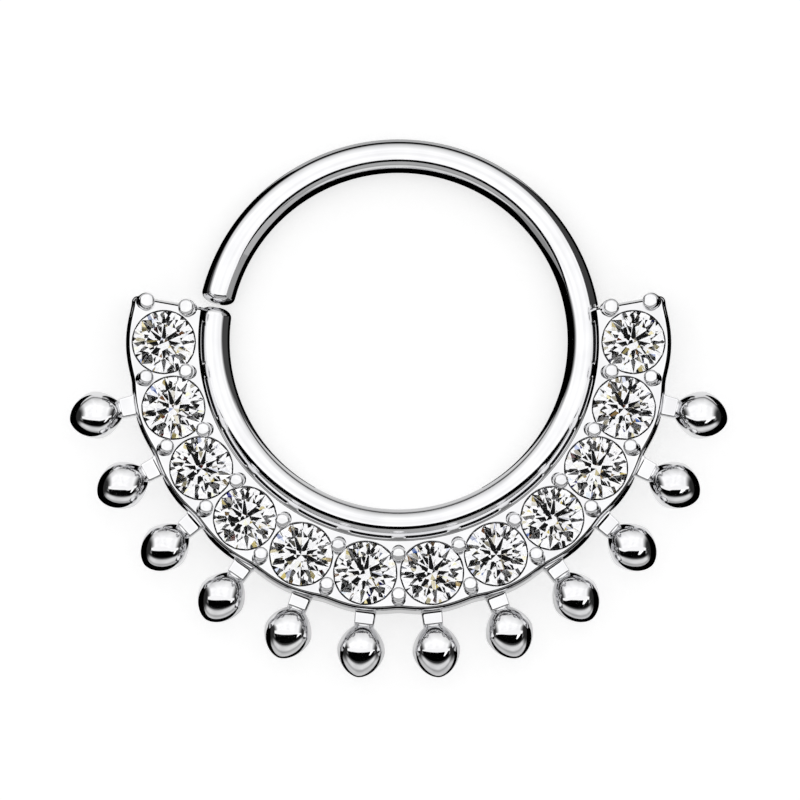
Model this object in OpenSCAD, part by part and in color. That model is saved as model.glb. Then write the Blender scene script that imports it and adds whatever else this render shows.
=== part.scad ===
// Hoop ring for a piercing: a cut round wire with a crescent of twelve set stones
// and a fringe of twelve polished drops. Millimetres.
// The ring lies on its back on the plane z = 0, with the stones facing +Z.
// The origin is on the hoop's axis, and -Y runs from it to the middle of the crescent.

/* [Hoop] */
// Inner diameter of the hoop
hoop_inner_d = 10; // [9:0.5:12]
// Thickness of the round wire
wire_d = 1; // [0.8:0.1:1.2]
// Place of the cut, in degrees anticlockwise from the right
gap_angle = 169; // [160:1:169]
// Clear width of the cut between the two wire ends
gap_w = 0.1; // [0.05:0.05:0.4]
// How far each wire end is domed
end_dome = 0.18; // [0.1:0.02:0.3]

/* [Stones] */
// Number of stones
stone_count = 12; // [8:1:12]
// Diameter of each round stone
stone_d = 1.84; // [1.6:0.02:1.9]
// Metal between two neighbouring stones
stone_gap = 0.13; // [0.1:0.01:0.2]
// Diameter of the flat table, as a share of the stone's
table_share = 0.56; // [0.5:0.01:0.65]
// Height of the crown above the girdle, as a share of the diameter
crown_share = 0.15; // [0.12:0.01:0.17]
// Depth of the pavilion below the girdle, as a share of the diameter
pavilion_share = 0.43; // [0.4:0.01:0.45]

/* [Crescent] */
// Thickness of the crescent plate
plate_t = 1.2; // [1.1:0.05:1.4]
// Face left between the stones and the inner edge
inner_land = 0.09; // [0.06:0.01:0.15]
// Face left between the stones and the outer edge
outer_land = 0.18; // [0.14:0.01:0.3]
// Face left between the last stone and each end of the plate
end_land = 0.33; // [0.28:0.01:0.4]
// Radius of the rounded front edge
edge_r = 0.1; // [0.05:0.01:0.15]
// How far the crescent sits below the hoop's middle
crescent_drop = 0.07; // [0:0.01:0.1]

/* [Prongs] */
// Diameter of a prong's domed head
head_d = 0.45; // [0.4:0.01:0.48]
// Diameter of the heads at the two ends of the row
end_head_d = 0.5; // [0.44:0.01:0.54]
// Diameter at the foot of the inner prongs
inner_foot_d = 0.46; // [0.4:0.01:0.48]
// Diameter at the foot of the outer prongs
outer_foot_d = 0.52; // [0.44:0.01:0.56]
// Height of a head's middle above the plate's face
head_lift = 0.3; // [0.26:0.01:0.4]
// Distance of the heads from the middle line of the row
head_offset = 0.615; // [0.58:0.005:0.65]
// How far each prong leans in over the stones
prong_lean = 0.11; // [0.1:0.01:0.14]

/* [Stems and drops] */
// Number of drops
drop_count = 12; // [4:1:12]
// Share of the crescent's sweep that the row of drops covers
drop_row_share = 0.764; // [0.74:0.002:0.8]
// Width of a stem where it leaves the plate
stem_w = 0.65; // [0.5:0.01:0.7]
// Width of a stem at its drop
stem_end_w = 0.59; // [0.45:0.01:0.65]
// Thickness of a stem from front to back
stem_t = 0.64; // [0.5:0.02:0.7]
// Length of a stem outside the rim
stem_l = 0.4; // [0.3:0.01:0.6]
// Length of a drop, from its neck to its tip
drop_l = 1.63; // [1.5:0.01:1.8]
// Width of a drop
drop_w = 1.42; // [1.3:0.01:1.5]
// Fullness of a drop's outline, where 2 is an ellipse and 1 a double cone
drop_fullness = 1.65; // [1.5:0.05:2]

/* [Hidden] */

// Colours
metal = [0.86, 0.87, 0.88];
crystal = [0.93, 0.96, 1.0, 0.75];

// Hoop wire
wire_r = wire_d / 2;
hoop_r = hoop_inner_d / 2 + wire_r;
end_sweep = degrees((gap_w / 2 + end_dome) / hoop_r);
dome_ledge = 0.002;
dome_root = 0.1;

// Row of stones: the plate's face starts on the wire's outer shoulder
face_in_r = hoop_r + 0.86 * wire_r;
stone_r = stone_d / 2;
row_r = face_in_r + inner_land + stone_r;
pitch = 2 * asin((stone_d + stone_gap) / 2 / row_r);
row_half = pitch * (stone_count - 1) / 2;
plate_half = row_half + degrees((stone_r + end_land) / row_r);
rim_r = row_r + stone_r + outer_land;

// The cut stays above the end of the crescent, also where that reaches further round
cut_angle = min(gap_angle, 269.1 - plate_half);

// Inner side of the plate: a slope runs from the face down into the wire
slope_run = 0.33;
slope_fall = 0.36;
back_in_r = hoop_r + 0.7 * wire_r;
root_r = hoop_r + 0.2 * wire_r;

// Slots in the slope beneath each stone
slot_w = 0.07;
slot_r = face_in_r - 0.17;
slot_floor_z = plate_t - 0.45;
slot_half = pitch / 2 - 1.95;

// Stones and their seats: the seat follows the pavilion with a small gap
table_r = stone_r * table_share;
girdle_t = 0.055;
girdle_z = plate_t - 0.01;
crown_h = stone_d * crown_share;
pavilion_h = stone_d * pavilion_share;
star_share = 0.76;
lower_share = 0.22;
seat_gap = 0.02;
seat_r = stone_r + seat_gap;
seat_z = girdle_z - seat_gap / 2;
seat_hole_r = stone_r / 2;
seat_slope = pavilion_h / stone_r;
seat_depth = (seat_r - seat_hole_r) * seat_slope;

// Prongs: the last pair at each end stands a little beyond the regular spacing
foot_sink = 0.12;
end_prong_extra = 0.95;
head_neck = 0.9;

// Stems and drops
stem_root_r = rim_r - 0.17;
stem_end_r = rim_r + stem_l;
drop_z = drop_w / 2;
drop_pitch = 2 * plate_half * drop_row_share / (drop_count - 1);
collar_r = 0.3;
collar_l = 0.11;
drop_r = stem_end_r - 0.08 + drop_l / 2;

overlap = 0.02;
$fn = 64;

function degrees(radians) = radians * 180 / PI;
function stone_name(i) = str("stone_", i < 10 ? "0" : "", i);

// Points of a quarter round edge, from the side up to the face
function round_edge(side, top, r) = [for (a = [0:30:90]) [side - r + r * cos(a), top - r + r * sin(a)]];

// Quarter outline of a drop: a superellipse from its widest place to its tip
function drop_curve(steps) = [for (i = [0:steps]) let (a = 90 * i / steps)
    [drop_w / 2 * pow(cos(a), 2 / drop_fullness), drop_l / 2 * pow(sin(a), 2 / drop_fullness)]];

// A ring of n points round the stone's axis
function gem_ring(r, z, n, turn) = [for (i = [0:n - 1]) let (a = 360 * i / n + turn)
    [r * cos(a), r * sin(a), z]];

// Places its children at an angle of the crescent, measured from straight down
module at_crescent(angle) {
    rotate(angle - 90) children();
}

// The wire, with its cut
module hoop_wire() {
    rotate(cut_angle + end_sweep)
        rotate_extrude(angle = 360 - 2 * end_sweep)
            translate([hoop_r, wire_r]) circle(wire_r);
    wire_end(cut_angle + end_sweep, 90);
    wire_end(cut_angle - end_sweep, -90);
}

// The domed end of the wire at one side of the cut: half of a flat ellipsoid, rooted in the wire
module wire_end(angle, facing) {
    steps = 6;
    dome_r = wire_r - dome_ledge;
    rotate(angle) translate([hoop_r, 0, wire_r]) rotate([facing, 0, 0])
        rotate_extrude()
            polygon(concat([[0, -dome_root], [dome_r / 2, -dome_root], [dome_r / 2, 0]],
                [for (i = [0:steps]) [dome_r * cos(90 * i / steps), end_dome * sin(90 * i / steps)]]));
}

// The crescent with its seats and slots
module crescent() {
    difference() {
        at_crescent(-plate_half)
            rotate_extrude(angle = 2 * plate_half) polygon(plate_section());
        for (i = [0:stone_count - 1]) at_crescent(stone_angle(i)) {
            translate([row_r, 0]) seat();
            gallery_slot();
        }
    }
}

function stone_angle(i) = (i - (stone_count - 1) / 2) * pitch;

function plate_section() = concat(
    [[back_in_r, 0], [rim_r, 0]],
    round_edge(rim_r, plate_t, edge_r),
    [[face_in_r, plate_t], [face_in_r - slope_run, plate_t - slope_fall], [root_r, wire_r]]);

// Room for one stone: a shallow bore, a cone along the pavilion and a hole to the back
module seat() {
    translate([0, 0, seat_z]) cylinder(r = seat_r, h = plate_t);
    translate([0, 0, seat_z - seat_depth]) cylinder(r1 = seat_hole_r, r2 = seat_r, h = seat_depth);
    translate([0, 0, -overlap]) cylinder(r = seat_hole_r, h = plate_t);
}

// The slot between the wire and the face beneath one stone
module gallery_slot() {
    rotate(-slot_half) rotate_extrude(angle = 2 * slot_half)
        translate([slot_r, slot_floor_z]) square([slot_w, plate_t]);
}

// A leaning post with a domed head; side is -1 next to the hoop and 1 next to the rim
module prong(side, foot_d, top_d) {
    rise = foot_sink + head_lift;
    translate([row_r + side * (head_offset + prong_lean), 0, plate_t - foot_sink])
        rotate([0, -side * atan2(prong_lean, rise), 0]) {
            reach = norm([prong_lean, rise]);
            cylinder(r1 = foot_d / 2, r2 = head_neck * top_d / 2, h = reach);
            translate([0, 0, reach]) sphere(top_d / 2);
        }
}

module prongs() {
    for (i = [0:stone_count]) {
        at_end = i == 0 || i == stone_count;
        extra = (i == 0 ? -1 : i == stone_count ? 1 : 0) * end_prong_extra;
        at_crescent((i - stone_count / 2) * pitch + extra) {
            prong(-1, inner_foot_d, at_end ? end_head_d : head_d);
            prong(1, outer_foot_d, at_end ? end_head_d : head_d);
        }
    }
}

// A flat bar from the rim to its drop
module stem() {
    translate([0, 0, drop_z - stem_t / 2]) linear_extrude(stem_t)
        polygon([[stem_root_r, -stem_w / 2], [stem_end_r, -stem_end_w / 2],
            [stem_end_r, stem_end_w / 2], [stem_root_r, stem_w / 2]]);
}

// A round pear-shaped bead, turned about the line through its stem, with a short collar
module drop() {
    steps = 10;
    curve = drop_curve(steps);
    translate([drop_r, 0, drop_z]) rotate([0, 90, 0])
        rotate_extrude()
            polygon(concat(
                [for (i = [steps:-1:1]) [curve[i][0], -curve[i][1]]], curve));
    translate([stem_end_r - overlap, 0, drop_z]) rotate([0, 90, 0])
        cylinder(r = collar_r, h = collar_l);
}

// All the soldered metal, as one solid
module hoop_and_setting() {
    color(metal) {
        hoop_wire();
        translate([0, -crescent_drop]) {
            crescent();
            prongs();
            for (i = [0:drop_count - 1]) at_crescent((i - (drop_count - 1) / 2) * drop_pitch) {
                stem();
                drop();
            }
        }
    }
}

// A round brilliant: an eight-sided table, then star, kite and upper girdle facets on the
// crown, and lower girdle and main facets on the pavilion
module brilliant() {
    kite_slope = crown_h / (stone_r - table_r);
    star_r = stone_r * star_share;
    lower_r = stone_r * lower_share;
    top = girdle_t;
    points = concat(
        gem_ring(table_r, top + crown_h, 8, 0),
        gem_ring(star_r, top + kite_slope * (stone_r - star_r * cos(22.5)), 8, 22.5),
        gem_ring(stone_r, top, 16, 0),
        gem_ring(stone_r, 0, 16, 0),
        gem_ring(lower_r, -pavilion_h * (1 - lower_share * cos(22.5)), 8, 22.5),
        [[0, 0, -pavilion_h]]);
    table = 0;
    star = 8;
    girdle = 16;
    under = 32;
    lower = 48;
    culet = 56;
    faces = concat(
        [[for (i = [7:-1:0]) table + i]],
        [for (i = [0:7]) [table + i, table + (i + 1) % 8, star + i]],
        [for (i = [0:7]) [table + i, star + i, girdle + 2 * i, star + (i + 7) % 8]],
        [for (i = [0:7]) [star + i, girdle + 2 * i + 1, girdle + 2 * i]],
        [for (i = [0:7]) [star + i, girdle + (2 * i + 2) % 16, girdle + 2 * i + 1]],
        [for (i = [0:15]) [girdle + i, girdle + (i + 1) % 16, under + (i + 1) % 16, under + i]],
        [for (i = [0:7]) [under + 2 * i, under + 2 * i + 1, lower + i]],
        [for (i = [0:7]) [under + 2 * i + 1, under + (2 * i + 2) % 16, lower + i]],
        [for (i = [0:7]) [under + 2 * i, lower + i, culet, lower + (i + 7) % 8]]);
    polyhedron(points, faces);
}

// The stone at place i of the row, counted from the left end
module stone(i) {
    color(crystal)
        translate([0, -crescent_drop]) at_crescent(stone_angle(i - 1))
            translate([row_r, 0, girdle_z]) brilliant();
}

hoop_and_setting();
for (i = [1:stone_count]) stone(i);
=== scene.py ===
"""A bendable hoop ring for a piercing, lying on its back on a pale studio floor.

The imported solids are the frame. The five metal pieces are surfaces worked out with numpy from
the same sizes as the solids, with the finer forms of the cast and polished ring: the scalloped
rim, the rounded edges, the flared feet and pressed heads of the prongs, the fillets of the stems
and the collars of the drops. All sizes are in millimetres until a mesh is made.
"""

import math

import bmesh
import bpy
import numpy as np
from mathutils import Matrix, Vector


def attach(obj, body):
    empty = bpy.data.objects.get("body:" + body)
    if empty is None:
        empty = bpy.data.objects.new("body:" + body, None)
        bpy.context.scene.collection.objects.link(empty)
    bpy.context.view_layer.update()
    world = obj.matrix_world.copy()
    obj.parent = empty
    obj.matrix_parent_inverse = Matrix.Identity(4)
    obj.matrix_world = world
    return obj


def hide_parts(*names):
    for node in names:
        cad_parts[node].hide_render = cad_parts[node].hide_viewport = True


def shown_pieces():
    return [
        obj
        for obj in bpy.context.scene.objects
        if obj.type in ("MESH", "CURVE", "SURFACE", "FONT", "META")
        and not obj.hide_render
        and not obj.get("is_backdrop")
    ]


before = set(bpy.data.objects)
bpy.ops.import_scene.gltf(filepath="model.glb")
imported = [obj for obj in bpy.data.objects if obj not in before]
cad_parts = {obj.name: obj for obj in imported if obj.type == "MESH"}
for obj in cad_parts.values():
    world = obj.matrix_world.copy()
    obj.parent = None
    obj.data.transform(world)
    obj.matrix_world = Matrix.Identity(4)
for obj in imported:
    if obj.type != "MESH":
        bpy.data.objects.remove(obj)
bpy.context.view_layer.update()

MM = 0.001
METAL_NODE = "hoop_and_setting"
STONES = sorted(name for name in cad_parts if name.startswith("stone_"))

# Hoop wire
WIRE_R = 0.5
HOOP_R = 5.5
GAP_ANGLE = math.radians(169)
GAP_HALF = 0.05
END_DOME = 0.3
END_FULLNESS = 2.3

# Crescent plate
PLATE_T = 1.2
FACE_IN_R = 5.93
BACK_IN_R = 5.85
ROOT_R = 5.6
SLOPE = 0.36 / 0.33
STONE_COUNT = 12
ROW_R = 6.94
PITCH = math.radians(16.3196)
STONE_ANGLES = (np.arange(STONE_COUNT) - (STONE_COUNT - 1) / 2) * PITCH
BORDER_ANGLES = (np.arange(1, STONE_COUNT) - STONE_COUNT // 2) * PITCH
CELL_COLUMNS = 32
PLATE_HALF = math.radians(100.079)
RIM_R = 8.04
CRESCENT_DROP = 0.07
EDGE_W = 0.15
EDGE_H = 0.26
BACK_EDGE = 0.03
CORNER_R = 0.19
SCALLOP_HIGH = 8.062
SCALLOP_DEPTH = 0.085
CUSP_EASE = 0.03
QUARTER = np.radians(np.linspace(0, 90, 11))

# Seats and slots
SEAT_R = 0.94
SEAT_HOLE_R = 0.46
SEAT_BEVEL = 0.02
SEAT_FLOOR_Z = 0.767
SLOT_HALF = math.radians(6.21)
SLOT_EASE = math.radians(1.6)
SLOT_FLOOR_Z = 0.75
SLOT_R = 5.794
SLOT_REACH = 0.0385

# Prongs
HEAD_R = 0.225
END_HEAD_R = 0.25
INNER_FOOT_R = 0.21
OUTER_FOOT_R = 0.215
WAIST_SHARE = 0.78
HEAD_OFFSET = 0.615
LEAN = 0.11
FOOT_SINK = 0.12
HEAD_LIFT = 0.3
HEAD_FULLNESS = 3.6
END_EXTRA = math.radians(0.95)

# Stems and drops
DROP_COUNT = 12
DROP_PITCH = math.radians(13.901)
DROP_Z = 0.71
STEM_T = 0.64
STEM_HALF_W = 0.325
STEM_TAPER = 0.03
STEM_POWER = 16.0
STEM_FILLET = 0.03
FILLET_FROM_R = 8.02
FILLET_FADE = 0.025
STEM_ROOT_R = 7.87
STEM_END_R = 8.44
DROP_R = 9.175
DROP_HALF_L = 0.815
DROP_HALF_W = 0.71
DROP_FULLNESS = 1.65
DROP_TIP_FULLNESS = 1.75
COLLAR_R = 0.3
COLLAR_EDGE = 0.02
COLLAR_FROM = 8.425
COLLAR_TO = 8.495

# Broken light for the stones
FIRE_SCALE = 2.6
FIRE_SPREAD = 0.006
FIRE_FROM = 0.45
FIRE_SOFT = 0.012
FIRE_LEAN = 0.06
FIRE_PALE = 0.35

# Floor, dome and light cards
FLOOR_HALF_W = 900
DOME_R = 600
HORIZON_R = 560
OVERHEAD_Z = 27
OVERHEAD_HALF_W = 70
FENCE_R = 6.6
FENCE_Z = 0.82
FENCE_RIGHT_Z = 0.4
POST_R = 4.4
POST_LEFT_Z = 0.35
STREAK_R = 4.42
CARD_FLOOR_Z = -0.3
FLOOR_IN_R = 5.4
FLOOR_OUT_R = 5.6
FLOOR_END_R = 18.0
SIDE_FLOOR_R = 8.1
DROP_FLOOR_R = 10.1


def linear(hex_colour):
    """sRGB hex to a linear RGBA tuple."""
    s = np.array([int(hex_colour[i:i + 2], 16) / 255 for i in (1, 3, 5)])
    rgb = np.where(s <= 0.04045, s / 12.92, ((s + 0.055) / 1.055) ** 2.4)
    return (*rgb.tolist(), 1.0)


def radial(angle):
    """Unit vectors away from the crescent's middle, for angles measured from straight down
    towards the right."""
    return np.stack([np.sin(angle), -np.cos(angle)], axis=-1)


def tangential(angle):
    """Unit vectors along the crescent, in the direction of growing angles."""
    return np.stack([np.cos(angle), np.sin(angle)], axis=-1)


def lifted(xy, z):
    """Plan points with their heights, moved down with the crescent."""
    z = np.broadcast_to(z, xy.shape[:-1])
    return np.concatenate([xy - [0, CRESCENT_DROP], z[..., None]], axis=-1)


def grid(points, close_cols=False):
    """A grid of points (rows, columns, 3) as a flat point list and the quads between
    neighbouring rows and columns. With close_cols the last column is joined to the first."""
    rows, cols = points.shape[:2]
    i, j = np.meshgrid(np.arange(rows - 1), np.arange(cols - (not close_cols)), indexing="ij")
    up, on = i + 1, (j + 1) % cols
    quads = np.stack([i * cols + j, up * cols + j, up * cols + on, i * cols + on], axis=-1)
    return points.reshape(-1, 3), quads.reshape(-1, 4)


def repeated(points, quads, places):
    """One grid set down at several places: each place is a matrix of three axes (3, 3) and an
    origin (3,)."""
    axes = np.stack([p[0] for p in places])
    origins = np.stack([p[1] for p in places])
    copies = np.einsum("vk,nkc->nvc", points, axes) + origins[:, None]
    shift = np.arange(len(places))[:, None, None] * len(points)
    return copies.reshape(-1, 3), (quads[None] + shift).reshape(-1, 4)


def turned(radius, height, around=48):
    """A profile of radii and heights turned about the local z axis, as a closed grid: a ring of
    points for each entry of the profile."""
    a = np.linspace(0, 2 * np.pi, around, endpoint=False)
    ring = np.stack([np.cos(a), np.sin(a)], axis=-1)
    xy = radius[:, None, None] * ring[None]
    z = np.broadcast_to(height[:, None, None], (len(height), around, 1))
    return grid(np.concatenate([xy, z], axis=-1), close_cols=True)


def piece(name, parts, sharp=38.0):
    """Joins the grids into one mesh, with coincident points welded, collapsed quads turned into
    triangles, small openings filled and faces outwards, and makes it a piece of the metal."""
    starts = np.cumsum([0] + [len(p) for p, _ in parts[:-1]])
    points = np.concatenate([p for p, _ in parts])
    quads = np.concatenate([q + s for (_, q), s in zip(parts, starts)])
    _, first, index = np.unique(np.round(points / 1e-5).astype(np.int64), axis=0,
                                return_index=True, return_inverse=True)
    points, quads = points[first], index.ravel()[quads]
    keep = quads != np.roll(quads, -1, axis=1)
    whole = keep.sum(axis=1) >= 3
    corners = quads[whole][keep[whole]]
    totals = keep[whole].sum(axis=1)
    mesh = bpy.data.meshes.new(name)
    mesh.vertices.add(len(points))
    mesh.vertices.foreach_set("co", (points * MM).ravel())
    mesh.loops.add(len(corners))
    mesh.loops.foreach_set("vertex_index", corners)
    mesh.polygons.add(len(totals))
    mesh.polygons.foreach_set("loop_start", np.cumsum(totals) - totals)
    mesh.update(calc_edges=True)
    mesh.validate()
    bm = bmesh.new()
    bm.from_mesh(mesh)
    open_edges = [e for e in bm.edges if e.is_boundary]
    if open_edges:
        bmesh.ops.holes_fill(bm, edges=open_edges, sides=0)
    bmesh.ops.recalc_face_normals(bm, faces=bm.faces)
    bm.to_mesh(mesh)
    bm.free()
    mesh.polygons.foreach_set("use_smooth", np.ones(len(mesh.polygons), bool))
    mesh.set_sharp_from_angle(angle=math.radians(sharp))
    obj = bpy.data.objects.new(name, mesh)
    bpy.context.scene.collection.objects.link(obj)
    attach(obj, "root")
    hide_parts(METAL_NODE)
    return obj


def hoop_wire():
    """A circle of radius WIRE_R carried along the hoop from one side of the cut round to the
    other. At both ends it runs on straight for END_DOME while its radius shrinks along a
    superellipse, so the end is domed with full shoulders."""
    sweep = (GAP_HALF + END_DOME) / HOOP_R
    along = np.linspace(GAP_ANGLE + sweep, GAP_ANGLE + 2 * np.pi - sweep, 361)
    t = np.linspace(0, np.pi / 2, 15)[1:]
    reach = END_DOME * np.sin(t) ** (2 / END_FULLNESS)
    shrink = np.cos(t).clip(0) ** (2 / END_FULLNESS)
    shrink[-1] = 0
    angle = np.concatenate([np.full(len(t), along[0]), along, np.full(len(t), along[-1])])
    beyond = np.concatenate([-reach[::-1], np.zeros(len(along)), reach])
    radius = WIRE_R * np.concatenate([shrink[::-1], np.ones(len(along)), shrink])
    out = np.stack([np.cos(angle), np.sin(angle), 0 * angle], axis=-1)
    ahead = np.stack([-np.sin(angle), np.cos(angle), 0 * angle], axis=-1)
    centre = HOOP_R * out + beyond[:, None] * ahead + [0, 0, WIRE_R]
    phi = np.linspace(0, 2 * np.pi, 56, endpoint=False)
    section = (np.cos(phi)[None, :, None] * out[:, None]
               + np.sin(phi)[None, :, None] * np.array([0, 0, 1.0]))
    return piece("hoop_wire", [grid(centre[:, None] + radius[:, None, None] * section,
                                    close_cols=True)])


def rim(angle):
    """Radius of the scalloped rim and its slope: a rectified sine, its cusps eased by taking the
    root of its square plus CUSP_EASE, and scaled back to run from 0 to 1. The stones stand half
    a pitch away from the middle, so it is lowest at whole pitches, where the prongs are, and
    highest beside each stone."""
    ease = math.sqrt(CUSP_EASE)

    def height(a):
        eased = np.sqrt(np.sin(a * np.pi / PITCH) ** 2 + CUSP_EASE) - ease
        return SCALLOP_HIGH - SCALLOP_DEPTH * (1 - eased / (math.sqrt(1 + CUSP_EASE) - ease))

    step = 1e-5
    return height(angle), (height(angle + step) - height(angle - step)) / (2 * step)


def column_angles(last):
    """Angles of the columns round the crescent: CELL_COLUMNS from each border between two stones
    to the next, and the given ones beyond the last border, mirrored beyond the first. Gives also
    the columns of the borders."""
    cells = [np.linspace(a, b, CELL_COLUMNS + 1)[1:]
             for a, b in zip(BORDER_ANGLES[:-1], BORDER_ANGLES[1:])]
    return (np.concatenate([-last[::-1], BORDER_ANGLES[:1], *cells, last]),
            len(last) + CELL_COLUMNS * np.arange(len(BORDER_ANGLES)))


def outline_columns():
    """Plan outline of the plate outside its inner edge, from the left end round the rim to the
    right end: straight ends, rounded corners and the scalloped rim. Gives the points, their
    outward normals and the place in the list of each border between two stones."""
    corner_r, _ = rim(np.array(PLATE_HALF - CORNER_R / RIM_R))
    corner_r = float(corner_r)
    end_out, end_on = radial(PLATE_HALF), tangential(PLATE_HALF)
    reach = math.sqrt((corner_r - CORNER_R) ** 2 - CORNER_R ** 2)
    centre = reach * end_out - CORNER_R * end_on
    lean = math.atan2(CORNER_R, reach)
    start = math.sqrt(FACE_IN_R ** 2 - EDGE_W ** 2)
    line = np.linspace(start, reach, 12)[:-1]
    swing = np.linspace(0, np.pi / 2 - lean, 9)[:, None]
    bend = np.cos(swing) * end_on + np.sin(swing) * end_out
    right_xy = np.concatenate([line[:, None] * end_out, centre + CORNER_R * bend])
    right_n = np.concatenate([np.broadcast_to(end_on, (len(line), 2)), bend])
    a, borders = column_angles(np.linspace(BORDER_ANGLES[-1], PLATE_HALF - lean, 40)[1:-1])
    r, slope = rim(a)
    rim_xy = r[:, None] * radial(a)
    rim_n = r[:, None] * radial(a) - slope[:, None] * tangential(a)
    rim_n /= np.linalg.norm(rim_n, axis=1, keepdims=True)
    mirror = np.array([-1, 1])
    xy = np.concatenate([right_xy * mirror, rim_xy, right_xy[::-1]])
    normal = np.concatenate([right_n * mirror, rim_n, right_n[::-1]])
    return xy, normal, len(right_xy) + borders


def outer_wall():
    """The outline carries a section of a quarter ellipse at the front, an upright wall and a
    quarter circle at the back. Gives its grid of points and the columns of the borders."""
    xy, normal, borders = outline_columns()
    back = np.radians([0, 30, 60, 90])
    z = np.concatenate([PLATE_T - EDGE_H * (1 - np.cos(QUARTER)),
                        [PLATE_T - EDGE_H - 0.02, PLATE_T / 2, BACK_EDGE + 0.02],
                        BACK_EDGE * (1 - np.sin(back))])
    inset = np.concatenate([EDGE_W * (1 - np.sin(QUARTER)), [0, 0, 0],
                            BACK_EDGE * (1 - np.cos(back))])
    return lifted(xy[None] - inset[:, None, None] * normal[None], z[:, None]), borders


def inner_slope():
    """The inner edge: rows at growing depth down a slope, each an arc, with a slot beneath each
    stone whose ends follow a smoothstep, and rounded off towards both ends of the crescent. Gives
    its grid of points, the columns of the borders and the count of columns in a rounded end."""
    # Radii of the rows, and how far each goes down to a slot's floor
    rows = np.array([[FACE_IN_R, 0], [5.921, 0], [5.912, 0], [5.90, 0], [5.87, 0], [5.84, 0],
                     [5.832, 0.04], [5.828, 1], [5.80, 1], [5.768, 1], [5.763, 0.06],
                     [5.756, 0], [5.72, 0], [5.66, 0], [ROOT_R, 0]])
    end_at = PLATE_HALF - math.asin(EDGE_W / FACE_IN_R)
    angle, borders = column_angles(np.linspace(BORDER_ANGLES[-1], end_at, 40)[1:])
    from_stone = np.abs((angle / PITCH) % 1 - 0.5) * PITCH
    from_stone = np.where(np.abs(angle) > STONE_COUNT / 2 * PITCH, PITCH, from_stone)
    window = ((SLOT_HALF - from_stone) / SLOT_EASE).clip(0, 1)
    window = window * window * (3 - 2 * window)
    line = PLATE_T - (FACE_IN_R - rows[:, 0]) * SLOPE
    # The first rows round off the edge to the face
    line[:4] = [PLATE_T, PLATE_T - 0.0045, PLATE_T - 0.0155, PLATE_T - 0.031]
    dip = rows[:, 1:] * window[None]
    height = line[:, None] * (1 - dip) + np.minimum(SLOT_FLOOR_Z, line[:, None]) * dip
    inner_r = np.append(rows[:, 0], [ROOT_R, BACK_IN_R])
    height = np.concatenate([height, np.full((1, len(angle)), WIRE_R),
                             np.zeros((1, len(angle)))])
    xy = inner_r[:, None, None] * radial(angle)[None]
    turn = QUARTER[1:]
    spare = inner_r[:, None] * math.sin(PLATE_HALF - end_at)
    out = spare * np.sin(turn)
    out[-1] = np.minimum(out[-1], spare[-1] - BACK_EDGE)
    fall = np.broadcast_to(EDGE_H * (1 - np.cos(turn)), out.shape).copy()
    fall[-1] = 0
    mirror = np.array([-1, 1])
    right = xy[:, -1:] + out[..., None] * tangential(PLATE_HALF)
    left = xy[:, :1] + out[:, ::-1, None] * tangential(PLATE_HALF) * mirror
    xy = np.concatenate([left, xy, right], axis=1)
    height = np.concatenate([height[:, :1] - fall[:, ::-1], height,
                             height[:, -1:] - fall], axis=1)
    return lifted(xy, height), len(turn) + borders, len(turn)


def cell_outline(k, inside, outside, inner_at, outer_at, rounded=0):
    """Plan outline of the plate round stone k: its part of the inner edge, the borders to the
    next stones as straight lines, and its part of the rim. At both ends of the crescent the
    given count of points of the inner edge lie together, where its rounding starts."""
    first, last = k == 0, k == STONE_COUNT - 1
    lo, hi = [0, *inner_at, len(inside) - 1][k:k + 2]
    rim_lo, rim_hi = [0, *outer_at, len(outside) - 1][k:k + 2]
    arc = inside[lo:hi + 1]
    if rounded and first:
        arc = np.concatenate([np.repeat(arc[rounded:rounded + 1], rounded, axis=0),
                              arc[rounded:]])
    if rounded and last:
        arc = np.concatenate([arc[:-rounded],
                              np.repeat(arc[-rounded - 1:-rounded], rounded, axis=0)])
    share = np.linspace(0, 1, 20)[1:-1, None]
    loop = [arc]
    if not last:
        loop.append(inside[hi] * (1 - share) + outside[rim_hi] * share)
    loop.append(outside[rim_lo:rim_hi + 1][::-1])
    if not first:
        loop.append((inside[lo] * (1 - share) + outside[rim_lo] * share)[::-1])
    return np.concatenate(loop)[:, :2]


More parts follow.
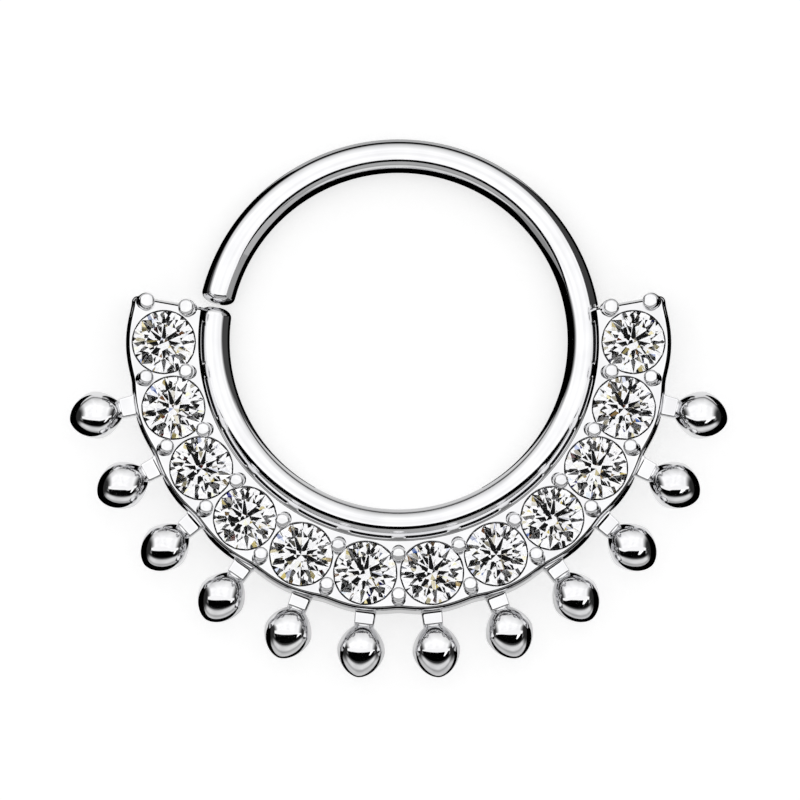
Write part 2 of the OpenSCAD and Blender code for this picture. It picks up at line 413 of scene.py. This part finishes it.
def cell_surfaces(centre, front, back):
    """The surfaces round one stone: its seat, as a profile of radii and heights turned about
    the stone's axis, and two flat sheets that join it to the outlines at the face and at the
    back by straight lines. The seat's columns turn from the angles of the one outline to those
    of the other."""
    rows = np.array([[SEAT_R + SEAT_BEVEL, PLATE_T],
                     [SEAT_R + SEAT_BEVEL * 0.35, PLATE_T - SEAT_BEVEL * 0.3],
                     [SEAT_R, PLATE_T - SEAT_BEVEL],
                     [SEAT_R - 0.01, PLATE_T - SEAT_BEVEL - 0.0087],
                     [SEAT_HOLE_R + 0.01, SEAT_FLOOR_Z + 0.0087],
                     [SEAT_HOLE_R, SEAT_FLOOR_Z],
                     [SEAT_HOLE_R, SEAT_FLOOR_Z - 0.02],
                     [SEAT_HOLE_R, 0.05], [SEAT_HOLE_R, BACK_EDGE],
                     [SEAT_HOLE_R + BACK_EDGE * 0.3, BACK_EDGE * 0.3],
                     [SEAT_HOLE_R + BACK_EDGE, 0]])
    away_f, away_b = front - centre, back - centre
    far_f, far_b = np.linalg.norm(away_f, axis=1), np.linalg.norm(away_b, axis=1)
    turn_f = np.unwrap(np.arctan2(away_f[:, 1], away_f[:, 0]))
    turn_b = np.unwrap(np.arctan2(away_b[:, 1], away_b[:, 0]))
    turn_b += 2 * np.pi * np.round((turn_f[0] - turn_b[0]) / (2 * np.pi))
    mix = np.linspace(0, 1, len(rows))[:, None]
    turn_s = turn_f[None] * (1 - mix) + turn_b[None] * mix
    ring = rows[:, :1, None] * np.stack([np.cos(turn_s), np.sin(turn_s)], axis=-1)
    spool = np.concatenate([centre + ring,
                            np.broadcast_to(rows[:, 1:, None], (*turn_s.shape, 1))], axis=-1)
    parts = [grid(spool, close_cols=True)]
    steps = np.array([0, 0.06, 0.35, 0.65, 0.94, 1])[:, None]
    for far, turns, near, z in ((far_f, turn_f, rows[0, 0], PLATE_T),
                                (far_b, turn_b, rows[-1, 0], 0.0)):
        reach = near * (1 - steps) + far[None] * steps
        unit = np.stack([np.cos(turns), np.sin(turns)], axis=-1)
        sheet = centre + reach[..., None] * unit[None]
        level = np.full((*reach.shape, 1), z)
        parts.append(grid(np.concatenate([sheet, level], axis=-1), close_cols=True))
    return parts


def crescent():
    """The plate as welded grids: its outer wall, its inner slope with the slots, and for each
    stone a seat with the flat face and back round it."""
    wall, outer_at = outer_wall()
    inner, inner_at, rounded = inner_slope()
    parts = [grid(wall), grid(inner)]
    for k, angle in enumerate(STONE_ANGLES):
        centre = ROW_R * radial(angle) - [0, CRESCENT_DROP]
        front = cell_outline(k, inner[0], wall[0], inner_at, outer_at, rounded)
        back = cell_outline(k, inner[-1], wall[-1], inner_at, outer_at)
        parts += cell_surfaces(centre, front, back)
    return piece("crescent", parts)


def prong_profile(foot_r, head_r):
    """Radii and heights of one prong along its own line: a flared foot, whose radius falls with
    the cube of the height left, a slim post, and a head: a ball below, and above its middle a
    superellipse of power HEAD_FULLNESS, as the setting tool presses it a little flat."""
    reach = math.hypot(LEAN, FOOT_SINK + HEAD_LIFT)
    sole = FOOT_SINK / (FOOT_SINK + HEAD_LIFT) * reach
    waist = head_r * WAIST_SHARE
    rise = np.linspace(0, 1, 11)
    post_h = sole - 0.01 + rise * (reach - 0.08 - sole)
    post_r = waist + (foot_r - waist) * (1 - rise) ** 3
    under = -math.acos(waist / head_r) * 0.98
    a = np.concatenate([np.linspace(under, 0, 5)[:-1], np.linspace(0, np.pi / 2, 19)])
    power = np.where(a > 0, 2 / HEAD_FULLNESS, 1.0)
    head_out = head_r * np.cos(a).clip(0) ** power
    head_up = head_r * np.sign(a) * np.abs(np.sin(a)) ** power
    radius = np.concatenate([[0, foot_r], post_r, head_out])
    height = np.concatenate([[0.02, 0.02], post_h, reach + head_up])
    radius[-1] = 0
    return radius, height


def prongs():
    """Thirteen pairs of prongs, one pair between every two stones and one at each end. Each is
    a profile turned about a line that leans in over the stones."""
    parts = []
    lean = math.atan2(LEAN, FOOT_SINK + HEAD_LIFT)
    end = STONE_COUNT / 2 * PITCH + END_EXTRA
    for side, foot_r in ((-1, INNER_FOOT_R), (1, OUTER_FOOT_R)):
        for angles, head_r in ((BORDER_ANGLES, HEAD_R), ((-end, end), END_HEAD_R)):
            shape = turned(*prong_profile(foot_r, head_r))
            places = []
            for a in angles:
                out = np.append(radial(a), 0)
                on = np.append(tangential(a), 0)
                up = np.array([0, 0, 1.0])
                axis = math.cos(lean) * up - side * math.sin(lean) * out
                across = math.cos(lean) * out + side * math.sin(lean) * up
                origin = lifted((ROW_R + side * (HEAD_OFFSET + LEAN)) * radial(a),
                                PLATE_T - FOOT_SINK)
                places.append((np.stack([across, on, axis]), origin))
            parts.append(repeated(*shape, places))
    return piece("prongs", parts, sharp=60)


def drop_places():
    """Axes and origins along the crescent's outer side: the local z runs outwards."""
    angle = (np.arange(DROP_COUNT) - (DROP_COUNT - 1) / 2) * DROP_PITCH
    places = []
    for a in angle:
        out, on = np.append(radial(a), 0), np.append(tangential(a), 0)
        places.append((np.stack([on, np.array([0, 0, 1.0]), out]),
                       np.array([0, -CRESCENT_DROP, DROP_Z])))
    return places


def stems():
    """Twelve flat bars with eased edges: a rounded rectangle, as a superellipse of power
    STEM_POWER, carried outwards while its width narrows. A fillet where it leaves the rim makes
    it wider on each side, by STEM_FILLET times the exponential of minus the distance beyond
    FILLET_FROM_R over FILLET_FADE."""
    r = np.array([STEM_ROOT_R, STEM_ROOT_R, 7.9, 8.0, 8.04, 8.06, 8.08, 8.11, 8.15, 8.2, 8.3,
                  8.4, STEM_END_R - 0.012, STEM_END_R - 0.004, STEM_END_R, STEM_END_R])
    part = (r - STEM_ROOT_R) / (STEM_END_R - STEM_ROOT_R)
    flare = STEM_FILLET * np.exp(-((r - FILLET_FROM_R).clip(0) / FILLET_FADE)) * (r > 7.95)
    half_w = STEM_HALF_W - STEM_TAPER * part + flare
    half_t = STEM_T / 2 + flare
    ease = np.ones(len(r))
    ease[[0, -1]] = 0
    ease[-3:-1] = [0.985, 0.955]
    a = np.linspace(0, 2 * np.pi, 72, endpoint=False) + np.pi / 72
    c, s = np.cos(a), np.sin(a)
    size = (np.abs(c) ** STEM_POWER + np.abs(s) ** STEM_POWER) ** (-1 / STEM_POWER)
    x = (half_w * ease)[:, None] * (c * size)
    y = (half_t * ease)[:, None] * (s * size)
    z = np.broadcast_to(r[:, None], x.shape)
    shape = grid(np.stack([x, y, z], axis=-1), close_cols=True)
    return piece("stems", [repeated(*shape, drop_places())], sharp=50)


def drops():
    """Twelve pear-shaped beads: a superellipse of power DROP_FULLNESS, a little fuller towards
    the tip, turned about the line through the stem, with a short rounded collar at its neck."""
    t = np.linspace(-np.pi / 2, np.pi / 2, 61)
    power = 2 / np.where(t > 0, DROP_TIP_FULLNESS, DROP_FULLNESS)
    radius = DROP_HALF_W * np.cos(t).clip(0) ** power
    height = DROP_R + DROP_HALF_L * np.sign(t) * np.abs(np.sin(t)) ** power
    radius[[0, -1]] = 0
    b = np.radians(np.linspace(0, 90, 5))
    collar_r = np.concatenate([[0], COLLAR_R - COLLAR_EDGE + COLLAR_EDGE * np.sin(b),
                               COLLAR_R - COLLAR_EDGE + COLLAR_EDGE * np.cos(b), [0]])
    collar_h = np.concatenate([[COLLAR_FROM], COLLAR_FROM + COLLAR_EDGE * (1 - np.cos(b)),
                               COLLAR_TO - COLLAR_EDGE + COLLAR_EDGE * np.sin(b), [COLLAR_TO]])
    return piece("drops", [repeated(*turned(radius, height, 72), drop_places()),
                           repeated(*turned(collar_r, collar_h, 48), drop_places())], sharp=50)


def node(tree, kind, settings=None, inputs=None, links=None):
    """Adds a node, sets its properties and sockets, and links other nodes' outputs to it."""
    made = tree.nodes.new(kind)
    for key, value in (settings or {}).items():
        setattr(made, key, value)
    for key, value in (inputs or {}).items():
        made.inputs[key].default_value = value
    for key, output in (links or {}).items():
        tree.links.new(output, made.inputs[key])
    return made


def material(name):
    """An empty node material."""
    made = bpy.data.materials.new(name)
    made.use_nodes = True
    made.node_tree.nodes.clear()
    return made, made.node_tree


def rhodium_plated_metal():
    """Rhodium-plated cast metal, polished by hand with a buff. It gives the eye a cold, nearly
    neutral mirror. The buff leaves hair-fine marks about 0.02 mm apart, drawn here at 0.06 mm,
    and soft unevenness about 0.8 mm across; both only stir the reflections a little."""
    made, tree = material("rhodium_plated_polished_metal")
    place = node(tree, "ShaderNodeTexCoord").outputs["Object"]
    soft = node(tree, "ShaderNodeTexNoise", {},
                {"Scale": 1 / 0.0008, "Detail": 2.0, "Roughness": 0.5}, {"Vector": place})
    marks_at = node(tree, "ShaderNodeMapping", {}, {"Rotation": (0.3, 0.5, 0.6),
                    "Scale": (1.0, 0.12, 1.0)}, {"Vector": place})
    marks = node(tree, "ShaderNodeTexNoise", {},
                 {"Scale": 1 / 0.00006, "Detail": 1.0, "Roughness": 0.5},
                 {"Vector": marks_at.outputs["Vector"]})
    rough = node(tree, "ShaderNodeMapRange", {}, {"From Min": 0.3, "From Max": 0.7,
                 "To Min": 0.035, "To Max": 0.085}, {"Value": soft.outputs["Fac"]})
    swell = node(tree, "ShaderNodeBump", {}, {"Strength": 0.35, "Distance": 0.000004},
                 {"Height": soft.outputs["Fac"]})
    fine = node(tree, "ShaderNodeBump", {}, {"Strength": 0.05, "Distance": 0.000001},
                {"Height": marks.outputs["Fac"], "Normal": swell.outputs["Normal"]})
    tone = node(tree, "ShaderNodeValToRGB", {}, {}, {"Fac": soft.outputs["Fac"]})
    tone.color_ramp.elements[0].position = 0.3
    tone.color_ramp.elements[0].color = linear("#E4E4E6")
    tone.color_ramp.elements[1].position = 0.7
    tone.color_ramp.elements[1].color = linear("#ECECED")
    shader = node(tree, "ShaderNodeBsdfPrincipled", {}, {"Metallic": 1.0},
                  {"Base Color": tone.outputs["Color"], "Roughness": rough.outputs["Result"],
                   "Normal": fine.outputs["Normal"]})
    node(tree, "ShaderNodeOutputMaterial", {}, {}, {"Surface": shader.outputs["BSDF"]})
    return made


def recess_painted_shade():
    """The same metal where no buff reaches, in the slots and seats: the dull skin of the casting,
    with a grain of about 0.05 mm, and painted shade, a darker colour that stands in for the shade
    inside them."""
    made, tree = material("dull_recess_painted_shade")
    place = node(tree, "ShaderNodeTexCoord").outputs["Object"]
    grain = node(tree, "ShaderNodeTexNoise", {}, {"Scale": 1 / 0.00005, "Detail": 2.0},
                 {"Vector": place})
    # Painted shade: dark metal colours for the shade inside the slots and seats
    tone = node(tree, "ShaderNodeValToRGB", {}, {}, {"Fac": grain.outputs["Fac"]})
    tone.color_ramp.elements[0].position = 0.3
    tone.color_ramp.elements[0].color = linear("#3A3A3D")
    tone.color_ramp.elements[1].position = 0.7
    tone.color_ramp.elements[1].color = linear("#56565A")
    pits = node(tree, "ShaderNodeBump", {}, {"Strength": 0.4, "Distance": 0.000004},
                {"Height": grain.outputs["Fac"]})
    shader = node(tree, "ShaderNodeBsdfPrincipled", {}, {"Metallic": 1.0, "Roughness": 0.42},
                  {"Base Color": tone.outputs["Color"], "Normal": pits.outputs["Normal"]})
    node(tree, "ShaderNodeOutputMaterial", {}, {}, {"Surface": shader.outputs["BSDF"]})
    return made


def mark_painted_recess_shade(obj):
    """Gives the crescent's second material, the dull metal with painted shade, to the faces
    inside its slots and seats.
    """
    mesh = obj.data
    middle = np.empty(3 * len(mesh.polygons))
    mesh.polygons.foreach_get("center", middle)
    x, y, z = middle.reshape(-1, 3).T / MM
    y = y + CRESCENT_DROP
    r = np.hypot(x, y)
    seats = ROW_R * radial(STONE_ANGLES)
    away = np.hypot(x[:, None] - seats[:, 0], y[:, None] - seats[:, 1]).min(axis=1)
    seat = (away < SEAT_R + 0.001) & (z < PLATE_T - SEAT_BEVEL - 0.004) & (z > BACK_EDGE)
    slope = PLATE_T - (FACE_IN_R - r) * SLOPE
    slot = (np.abs(r - SLOT_R) < SLOT_REACH) & (z < slope - 0.05) & (z > SLOT_FLOOR_Z - 0.02)
    mesh.polygons.foreach_set("material_index", (seat | slot).astype(np.int32))
    mesh.update()


def cubic_zirconia():
    """Colourless cubic zirconia, cut as a round brilliant. Its IOR of about 2.16 gives hard
    black and white flashes. The facets are polished flat; what the lap leaves, about 0.1 mm
    apart, only breaks their edges up a little."""
    made, tree = material("cut_cubic_zirconia")
    place = node(tree, "ShaderNodeTexCoord").outputs["Object"]
    grain = node(tree, "ShaderNodeTexNoise", {},
                 {"Scale": 1 / 0.0001, "Detail": 2.0}, {"Vector": place})
    polish = node(tree, "ShaderNodeBump", {}, {"Strength": 0.02, "Distance": 0.0000002},
                  {"Height": grain.outputs["Fac"]})
    shader = node(tree, "ShaderNodeBsdfPrincipled", {},
                  {"Base Color": linear("#FDFDFF"), "Roughness": 0.0, "IOR": 2.16,
                   "Transmission Weight": 1.0}, {"Normal": polish.outputs["Normal"]})
    node(tree, "ShaderNodeOutputMaterial", {}, {}, {"Surface": shader.outputs["BSDF"]})
    return made


def floor_paper():
    """Matt white paper on a light table: mostly lit from below, so that shadows stay faint. Its
    fibres, about 0.4 mm, vary the white a little."""
    made, tree = material("white_paper_floor")
    place = node(tree, "ShaderNodeTexCoord").outputs["Object"]
    fibre = node(tree, "ShaderNodeTexNoise", {}, {"Scale": 1 / 0.0004, "Detail": 3.0},
                 {"Vector": place})
    tone = node(tree, "ShaderNodeMapRange", {}, {"To Min": 0.86, "To Max": 0.9},
                {"Value": fibre.outputs["Fac"]})
    shader = node(tree, "ShaderNodeBsdfPrincipled", {}, {"Roughness": 1.0,
                  "Specular IOR Level": 0.0, "Emission Color": (1, 1, 1, 1),
                  "Emission Strength": 0.6}, {"Base Color": tone.outputs["Result"]})
    node(tree, "ShaderNodeOutputMaterial", {}, {}, {"Surface": shader.outputs["BSDF"]})
    return made


def stage_mesh(name, points, faces, finish, seen_by):
    """A part of the studio, in millimetres, seen only by the named kinds of ray."""
    mesh = bpy.data.meshes.new(name)
    mesh.from_pydata((np.asarray(points) * MM).tolist(), [], faces)
    mesh.materials.append(finish)
    obj = bpy.data.objects.new(name, mesh)
    bpy.context.scene.collection.objects.link(obj)
    obj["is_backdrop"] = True
    for kind in ("camera", "diffuse", "glossy", "transmission", "shadow"):
        setattr(obj, "visible_" + kind, kind in seen_by)
    return obj


def show_to_metal(light, shaded):
    """Shows a light to the metal pieces, in their reflections, except for the shaded ones. To
    those and to the stones it is black."""
    receivers = bpy.data.collections.new(light.name + "_seen_by")
    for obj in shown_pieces():
        if obj.name not in shaded and obj.name not in STONES:
            receivers.objects.link(obj)
    light.light_linking.receiver_collection = receivers


def card(name, points, faces, level, shaded):
    """A card that gives off an even light of the given level, seen only in reflections."""
    made, tree = material(name + "_light")
    glow = node(tree, "ShaderNodeEmission", {}, {"Color": (1, 1, 1, 1), "Strength": level})
    node(tree, "ShaderNodeOutputMaterial", {}, {}, {"Surface": glow.outputs["Emission"]})
    made.cycles.emission_sampling = "NONE"
    show_to_metal(stage_mesh(name, points, faces, made, ("glossy",)), shaded)


def flat_card(name, corners, level, shaded):
    """A flat card through the given corners."""
    card(name, corners, [tuple(range(len(corners)))], level, shaded)


def bent_card(name, degrees, near, far, level, shaded=()):
    """A strip bent round the hoop's axis, between two edges that are each given as a radius and
    a height."""
    a = np.radians(degrees)[:, None]
    edges = []
    for radius, height in (near, far):
        radius = np.broadcast_to(radius, len(a))[:, None]
        line = np.hstack([radius * np.cos(a), radius * np.sin(a)])
        edges.append(np.column_stack([line, np.broadcast_to(height, len(line))]))
    count = len(a)
    faces = [(i, i + 1, count + i + 1, count + i) for i in range(count - 1)]
    card(name, np.concatenate(edges), faces, level, shaded)


def studio_pattern(tree, direction):
    """The studio round the ring, as light by direction: a broad white light overhead that
    reaches down to the far side, a dark strip and a pale one on the near side, dark side walls,
    a dark skirting and a pale floor, all a little uneven. The stops give the light by the tilt
    from straight up towards +Y, in degrees; the walls take its place where the direction leans
    far across."""
    split = node(tree, "ShaderNodeSeparateXYZ", {}, {}, {"Vector": direction})
    x, y, z = (split.outputs[k] for k in "XYZ")
    tilt = node(tree, "ShaderNodeMath", {"operation": "ARCTAN2"}, {}, {0: y, 1: z})
    share = node(tree, "ShaderNodeMapRange", {}, {"From Min": -math.pi, "From Max": math.pi},
                 {"Value": tilt.outputs["Value"]})
    along = node(tree, "ShaderNodeValToRGB", {}, {}, {"Fac": share.outputs["Result"]})
    stops = [(-180, 0.75), (-110, 0.75), (-96, 0.45), (-86, 0.9), (-72, 0.9), (-62, 0.04),
             (-50, 0.04), (-44, 1.35), (45, 1.35), (83, 0.85), (91, 0.25), (104, 0.25),
             (110, 0.8), (180, 0.8)]
    ramp = along.color_ramp
    while len(ramp.elements) < len(stops):
        ramp.elements.new(0.5)
    for element, (degrees, level) in zip(ramp.elements, stops):
        element.position = degrees / 360 + 0.5
        element.color = (level, level, level, 1)
    side = node(tree, "ShaderNodeMath", {"operation": "ABSOLUTE"}, {}, {0: x})
    wall = node(tree, "ShaderNodeMapRange", {"interpolation_type": "SMOOTHSTEP"},
                {"From Min": math.sin(math.radians(50)), "From Max": math.sin(math.radians(74))},
                {"Value": side.outputs["Value"]})
    low = node(tree, "ShaderNodeMapRange", {"interpolation_type": "SMOOTHSTEP"},
               {"From Min": -0.42, "From Max": -0.52, "To Min": 0.03, "To Max": 0.7},
               {"Value": z})
    across = node(tree, "ShaderNodeCombineColor", {}, {},
                  {k: low.outputs["Result"] for k in ("Red", "Green", "Blue")})
    both = node(tree, "ShaderNodeMix", {"data_type": "RGBA"}, {},
                {0: wall.outputs["Result"], 6: along.outputs["Color"],
                 7: across.outputs["Color"]})
    cloud = node(tree, "ShaderNodeTexNoise", {}, {"Scale": 2.2, "Detail": 1.0},
                 {"Vector": direction})
    uneven = node(tree, "ShaderNodeMapRange", {}, {"From Min": 0.35, "From Max": 0.6,
                  "To Min": 0.83, "To Max": 0.94}, {"Value": cloud.outputs["Fac"]})
    mottled = node(tree, "ShaderNodeVectorMath", {"operation": "SCALE"}, {},
                   {0: both.outputs[2], "Scale": uneven.outputs["Result"]})
    return mottled.outputs["Vector"]


def studio_dome():
    """A sphere round the studio that carries its light, and inside it a band of the same light
    from the horizon halfway up, which the crescent sees as black."""
    made, tree = material("studio_walls")
    place = node(tree, "ShaderNodeTexCoord").outputs["Object"]
    direction = node(tree, "ShaderNodeVectorMath", {"operation": "NORMALIZE"}, {}, {0: place})
    glow = node(tree, "ShaderNodeEmission", {}, {},
                {"Color": studio_pattern(tree, direction.outputs["Vector"])})
    node(tree, "ShaderNodeOutputMaterial", {}, {}, {"Surface": glow.outputs["Emission"]})
    made.cycles.emission_sampling = "NONE"
    for name, radius, low, high, shaded in (("studio_dome", DOME_R, -90, 90, ()),
                                            ("horizon", HORIZON_R, -2, 45, ("crescent",))):
        rise = np.radians(np.linspace(low, high, 49))
        points, quads = turned(radius * np.cos(rise), radius * np.sin(rise), 96)
        show_to_metal(stage_mesh(name, points, quads.tolist(), made, ("glossy",)), shaded)


def studio_world():
    """White behind everything, an even soft light on the floor, and for the stones the broken
    light that they gather: darker overhead and to one side. Red, green and blue read it a
    little apart, blue the most, as cut stones spread the colours of white light."""
    world = bpy.data.worlds.new("studio")
    bpy.context.scene.world = world
    world.use_nodes = True
    tree = world.node_tree
    tree.nodes.clear()
    direction = node(tree, "ShaderNodeTexCoord").outputs["Generated"]
    z = node(tree, "ShaderNodeSeparateXYZ", {}, {}, {"Vector": direction}).outputs["Z"]
    lean = node(tree, "ShaderNodeVectorMath", {"operation": "DOT_PRODUCT"},
                {1: (0.7, -0.7, 0.0)}, {0: direction})
    overhead = node(tree, "ShaderNodeMapRange", {}, {"From Min": 0.985, "From Max": 0.992,
                    "To Min": 0.0, "To Max": 0.6}, {"Value": z})
    less = node(tree, "ShaderNodeMath", {"operation": "MULTIPLY_ADD"}, {1: FIRE_LEAN},
                {0: lean.outputs["Value"], 2: overhead.outputs["Result"]})
    channels = {}
    for key, share in (("Red", -0.35), ("Green", 0.0), ("Blue", 1.2)):
        spread = 1 + share * FIRE_SPREAD
        apart = node(tree, "ShaderNodeMapping", {}, {"Scale": (spread, spread, spread)},
                     {"Vector": direction})
        broken = node(tree, "ShaderNodeTexNoise", {}, {"Scale": FIRE_SCALE, "Detail": 1.0},
                      {"Vector": apart.outputs["Vector"]})
        left = node(tree, "ShaderNodeMath", {"operation": "SUBTRACT"}, {},
                    {0: broken.outputs["Fac"], 1: less.outputs["Value"]})
        lit = node(tree, "ShaderNodeMapRange", {}, {"From Min": FIRE_FROM - FIRE_SOFT,
                   "From Max": FIRE_FROM + FIRE_SOFT, "To Min": 0.01, "To Max": 1.25},
                   {"Value": left.outputs["Value"]})
        channels[key] = lit.outputs["Result"]
    fire = node(tree, "ShaderNodeCombineColor", {}, {}, channels)
    pale = node(tree, "ShaderNodeMix", {"data_type": "RGBA"}, {0: FIRE_PALE},
                {6: fire.outputs["Color"], 7: channels["Green"]})
    kind = node(tree, "ShaderNodeLightPath")
    soft = node(tree, "ShaderNodeMix", {"data_type": "RGBA"},
                {6: (0.5, 0.5, 0.5, 1), 7: (1, 1, 1, 1)}, {0: kind.outputs["Is Camera Ray"]})
    light = node(tree, "ShaderNodeMix", {"data_type": "RGBA"}, {},
                 {0: kind.outputs["Is Transmission Ray"], 6: soft.outputs[2],
                  7: pale.outputs[2]})
    shown = node(tree, "ShaderNodeBackground", {}, {}, {"Color": light.outputs[2]})
    node(tree, "ShaderNodeOutputWorld", {}, {}, {"Surface": shown.outputs[0]})


def overhead_cards():
    """Cards overhead on the near side, where the dark camera stands. The wire, the crescent and
    the stems see the upper one dark, the drops the two lower ones, and the crescent the lowest
    as well. The drops alone see a bright spot there."""
    w, z = OVERHEAD_HALF_W, OVERHEAD_Z
    for name, near, far, level, shaded in (
            ("lens_card", -19, -8.5, 1.15, ("hoop_wire", "crescent", "stems")),
            ("low_reflector", -27, -19, 0.45, ("drops",)),
            ("lower_reflector", -48, -27, 0.45, ("drops", "crescent"))):
        flat_card(name, [(-w, near, z), (w, near, z), (w, far, z), (-w, far, z)], level, shaded)
    flat_card("drop_spot", [(24, -31, 26.9), (30, -31, 26.9), (46, -19, 26.9),
                            (27, -19, 26.9)], 1.6, ("hoop_wire", "crescent", "prongs", "stems"))


def ramp_up(degrees, start, width):
    """0 up to the start, then straight up to 1 over the width."""
    return ((degrees - start) / width).clip(0, 1)


def fence_cards():
    """A fence and a floor round the upper half of the wire, for its outer band: black at the
    sides, with dark grey above on the right and at the cut, and over the top pale below a dark
    line. The grey on the right rises with the square of the cosine, the one at the cut with the
    power 1.5 of the angle."""
    beside = np.linspace(11, 169, 80)
    right, left = beside[beside < 62], beside[beside > 134]
    pale = ramp_up(beside, 44, 14) * ramp_up(-beside, -134, 14)
    pale_top = CARD_FLOOR_Z + 0.84 * pale
    pale_out = FLOOR_OUT_R + pale
    fence_top = np.maximum(np.where(beside < 61, FENCE_RIGHT_Z, FENCE_Z), pale_top)
    right_top = FENCE_Z + 0.6 * ((np.cos(np.radians(right)) - 0.3) / 0.7).clip(0, 1) ** 2
    left_top = FENCE_Z + 0.3 * ramp_up(left, 133, 35) ** 1.5
    bent_card("wire_fence", beside, (FENCE_R, pale_top), (FENCE_R, fence_top), 1.0,
              ("hoop_wire",))
    bent_card("wire_fence_pale", beside, (FENCE_R, CARD_FLOOR_Z), (FENCE_R, pale_top), 0.5)
    bent_card("wire_fence_left", left, (FENCE_R, FENCE_Z), (FENCE_R, left_top), 0.05)
    bent_card("wire_fence_right", right, (FENCE_R, FENCE_RIGHT_Z), (FENCE_R, right_top), 0.055)
    bent_card("wire_floor_out", beside, (pale_out, CARD_FLOOR_Z), (FLOOR_END_R, CARD_FLOOR_Z),
              0.8, ("hoop_wire",))
    bent_card("wire_floor_pale", beside, (FLOOR_OUT_R, CARD_FLOOR_Z), (pale_out, CARD_FLOOR_Z),
              0.5)


def post_cards():
    """A post and a floor inside the wire, for its inner band: black at the edge, with grey above
    it towards the cut and on the right, and dark grey at the lower left. From the top to the
    sides the post rises with the power 1.5 of the cosine, and from 100 degrees away from the
    top it falls in a straight line."""
    around = np.linspace(-60, 240, 151)
    lower_left = around > 169
    full = np.minimum(0.74 + 0.39 * np.abs(np.cos(np.radians(around))) ** 1.5,
                      1.13 - 1.43 * (np.abs(around - 90) - 100) / 50)
    tip = ramp_up(around, 116, 20) * ~lower_left
    streak = ramp_up(around, 20, 14) * ramp_up(-around, -52, 12)
    post_top = np.where(lower_left, np.minimum(full, POST_LEFT_Z), full)
    post_top = post_top * (1 - tip) + 0.68 * tip
    post_top = post_top * (1 - streak) + 0.7 * streak
    bent_card("wire_post", around, (POST_R, -0.32), (POST_R, post_top), 1.0,
              ("hoop_wire", "crescent"))
    bent_card("wire_post_left", around[lower_left], (POST_R, POST_LEFT_Z),
              (POST_R, np.maximum(full, POST_LEFT_Z)[lower_left]), 0.07, ("crescent",))
    for name, low, high, reach, level in (("wire_post_upper", 116, 150, 0.9 * tip, 0.5),
                                          ("wire_post_tip", 150, 168, 0.9 * tip, 0.36),
                                          ("wire_post_streak", 8, 52, 0.55 * streak, 0.3)):
        part = (around > low - 1) & (around < high + 1)
        bent_card(name, around[part], (STREAK_R, post_top[part]),
                  (STREAK_R, (post_top + reach)[part]), level, ("crescent",))
    bent_card("wire_floor_in", around, (POST_R, CARD_FLOOR_Z), (FLOOR_IN_R, CARD_FLOOR_Z), 0.8,
              ("hoop_wire",))


def drop_cards():
    """Floors round the crescent, black to it and to the prongs. The one that begins beyond the
    drops is black to them too and gives them a dark line at the bottom."""
    below = np.linspace(150, 390, 121)
    far = 11.2 + 19 * np.abs(np.cos(np.radians(below))) ** 4
    bent_card("drop_floor", below, (DROP_FLOOR_R, -0.31), (far, -0.31), 0.7,
              ("drops", "crescent", "prongs"))
    for name, degrees in (("left_floor", np.linspace(150, 236, 44)),
                          ("right_floor", np.linspace(-56, 30, 44))):
        bent_card(name, degrees, (SIDE_FLOOR_R, -0.29), (DROP_FLOOR_R, -0.29), 0.9,
                  ("crescent", "prongs"))


def studio():
    """Floor, cards, dome, world and picture settings."""
    w = FLOOR_HALF_W
    stage_mesh("floor", [(-w, -w, 0), (w, -w, 0), (w, w, 0), (-w, w, 0)], [(0, 1, 2, 3)],
               floor_paper(), ("camera", "diffuse", "transmission", "shadow"))
    overhead_cards()
    fence_cards()
    post_cards()
    drop_cards()
    studio_dome()
    studio_world()
    scene = bpy.context.scene
    scene.view_settings.view_transform = "Standard"
    scene.cycles.max_bounces = 24
    scene.cycles.transmission_bounces = 20
    scene.cycles.glossy_bounces = 8
    scene.cycles.diffuse_bounces = 3
    scene.cycles.use_denoising = True
    scene.cycles.sample_clamp_indirect = 8.0


def camera():
    """A long lens, 5 degrees off square to the ring, from the side of the crescent. The middle
    of the picture lies 1.754 mm below the hoop's axis, and it takes in 23.67 mm."""
    elevation, distance, width = math.radians(85), 400.0, 23.67
    data = bpy.data.cameras.new("camera")
    data.sensor_width = 36
    data.lens = 36 * distance / width
    data.clip_start, data.clip_end = 0.01, 10
    obj = bpy.data.objects.new("camera", data)
    bpy.context.scene.collection.objects.link(obj)
    back = Vector((0, -math.cos(elevation), math.sin(elevation)))
    target = Vector((0.04, -1.754, 0.5))
    obj.location = (target + back * distance) * MM
    obj.rotation_mode = "QUATERNION"
    obj.rotation_quaternion = (-back).to_track_quat("-Z", "Y")
    bpy.context.scene.camera = obj


metal = rhodium_plated_metal()
wire = hoop_wire()
plate = crescent()
claws = prongs()
bars = stems()
beads = drops()
for obj in (wire, plate, claws, bars, beads):
    obj.data.materials.append(metal)
# The slots and seats get the dull metal with painted shade
plate.data.materials.append(recess_painted_shade())
mark_painted_recess_shade(plate)
zirconia = cubic_zirconia()
for name in STONES:
    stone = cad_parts[name]
    stone.data.materials.clear()
    stone.data.materials.append(zirconia)
studio()
camera()
